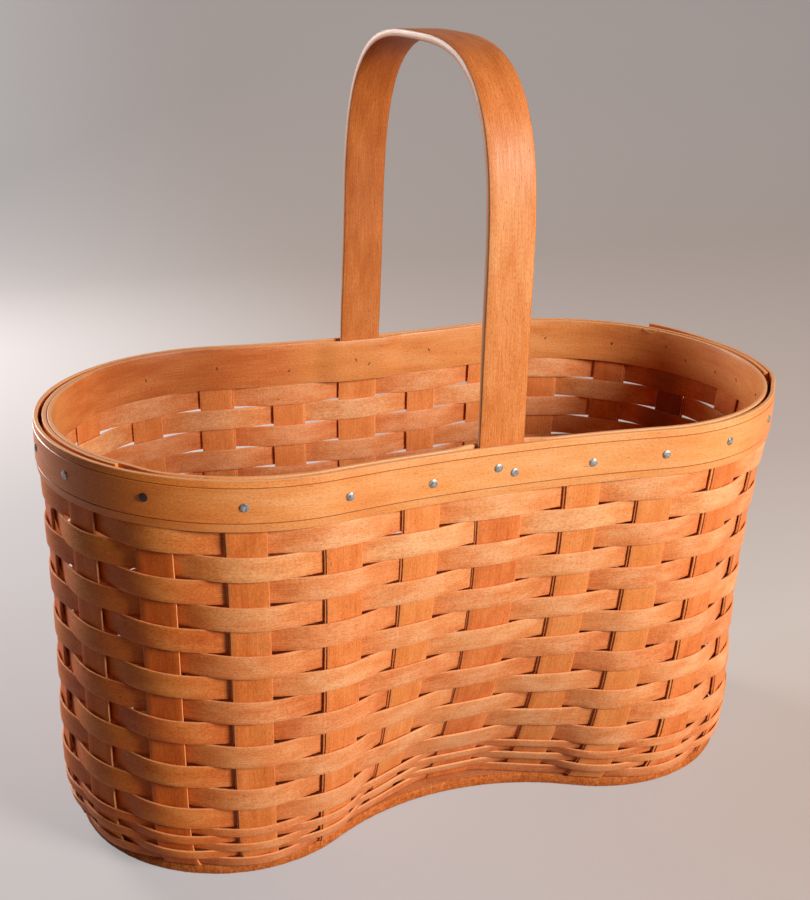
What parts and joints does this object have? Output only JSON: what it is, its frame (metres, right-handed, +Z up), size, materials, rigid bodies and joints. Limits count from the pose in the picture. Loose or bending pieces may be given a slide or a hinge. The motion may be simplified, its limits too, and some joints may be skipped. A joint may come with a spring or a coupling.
{
  "type": "woven splint basket",
  "caption": "Waisted woven splint basket with a solid base board, bentwood rim bands and one fixed bentwood handle arched across the waist.",
  "frame": {"origin": "on the ground under the middle of the basket's overall box", "axes": "+Z up, +X along the length of the basket, +Y across the waist, along the span of the handle"},
  "size_m": [0.4208, 0.2148, 0.4157],
  "materials": {
    "stake": "stained upright splint, satin",
    "weaver": "stained level splint, satin",
    "band": "stained bentwood, satin",
    "handle": "stained bentwood, satin",
    "board": "stained board, worn",
    "nail": "zinc coated, dull"
  },
  "bodies": {
    "root": {"base_board": "board", "floor_board": "board", "stake_01": "stake", "stake_02": "stake", "stake_03": "stake", "stake_04": "stake", "stake_05": "stake", "stake_06": "stake", "handle_stake_back": "stake", "stake_08": "stake", "stake_09": "stake", "stake_10": "stake", "stake_11": "stake", "stake_12": "stake", "stake_13": "stake", "stake_14": "stake", "stake_15": "stake", "stake_16": "stake", "stake_17": "stake", "stake_18": "stake", "handle_stake_front": "stake", "stake_20": "stake", "stake_21": "stake", "stake_22": "stake", "stake_23": "stake", "stake_24": "stake", "weaver_01": "weaver", "weaver_02": "weaver", "weaver_03": "weaver", "weaver_04": "weaver", "weaver_05": "weaver", "weaver_06": "weaver", "weaver_07": "weaver", "weaver_08": "weaver", "weaver_09": "weaver", "weaver_10": "weaver", "weaver_11": "weaver", "weaver_12": "weaver", "weaver_13": "weaver", "weaver_14": "weaver", "weaver_15": "weaver", "weaver_16": "weaver", "weaver_17": "weaver", "weaver_18": "weaver", "outer_rim_band": "band", "inner_rim_band": "band", "handle": "handle", "handle_nail_back_left": "nail", "handle_nail_back_right": "nail", "handle_nail_front_left": "nail", "handle_nail_front_right": "nail"}
  },
  "joints": []
}
